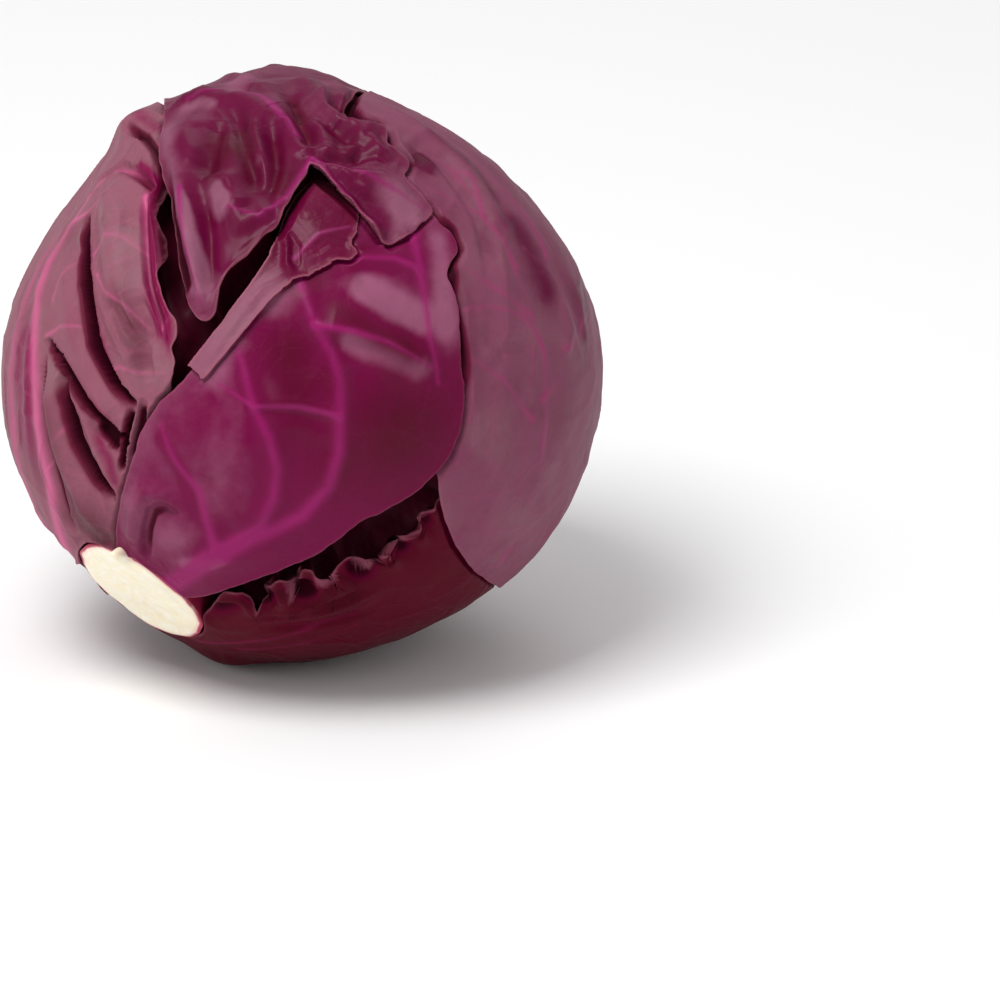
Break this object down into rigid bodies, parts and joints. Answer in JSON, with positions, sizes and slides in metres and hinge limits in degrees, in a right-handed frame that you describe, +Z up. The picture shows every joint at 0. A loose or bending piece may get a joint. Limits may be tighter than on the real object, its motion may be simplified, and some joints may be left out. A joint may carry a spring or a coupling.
{
  "type": "cabbage head",
  "caption": "Whole red cabbage head lying on its belly: overlapping waxy leaves with folds and veins round a dense heart, with a cut stem.",
  "frame": {"origin": "under the middle of the head, on the surface that it rests on", "axes": "+Z up as the head rests, -Y towards the side with the folded leaves, +X to the right of that side; the cut stem is low at the front left"},
  "size_m": [0.1636, 0.165, 0.1619],
  "materials": {
    "stem": "moist ivory cut stem with a pink rim",
    "inner_leaf": "dark wine leaf in shade",
    "crown_leaf": "magenta leaf with a mauve waxy bloom, soft gloss",
    "torn_leaf": "mauve leaf margin with pale torn edges",
    "front_leaf": "saturated magenta leaf, rubbed to a soft gloss, with violet veins",
    "left_leaf": "pale mauve bloom over magenta, with pink ribs",
    "right_leaf": "muted greyish mauve leaf with fine branching veins",
    "ruffled_leaf": "dark wine leaf with a curled margin",
    "back_leaf": "muted mauve leaf",
    "under_leaf": "muted wine leaf"
  },
  "bodies": {
    "root": {"stump": "stem", "heart": "inner_leaf", "crown_leaf": "crown_leaf", "torn_leaf": "torn_leaf", "front_leaf": "front_leaf", "left_leaf": "left_leaf", "right_leaf": "right_leaf", "ruffled_leaf": "ruffled_leaf", "back_leaf": "back_leaf", "under_leaf": "under_leaf"}
  },
  "joints": []
}
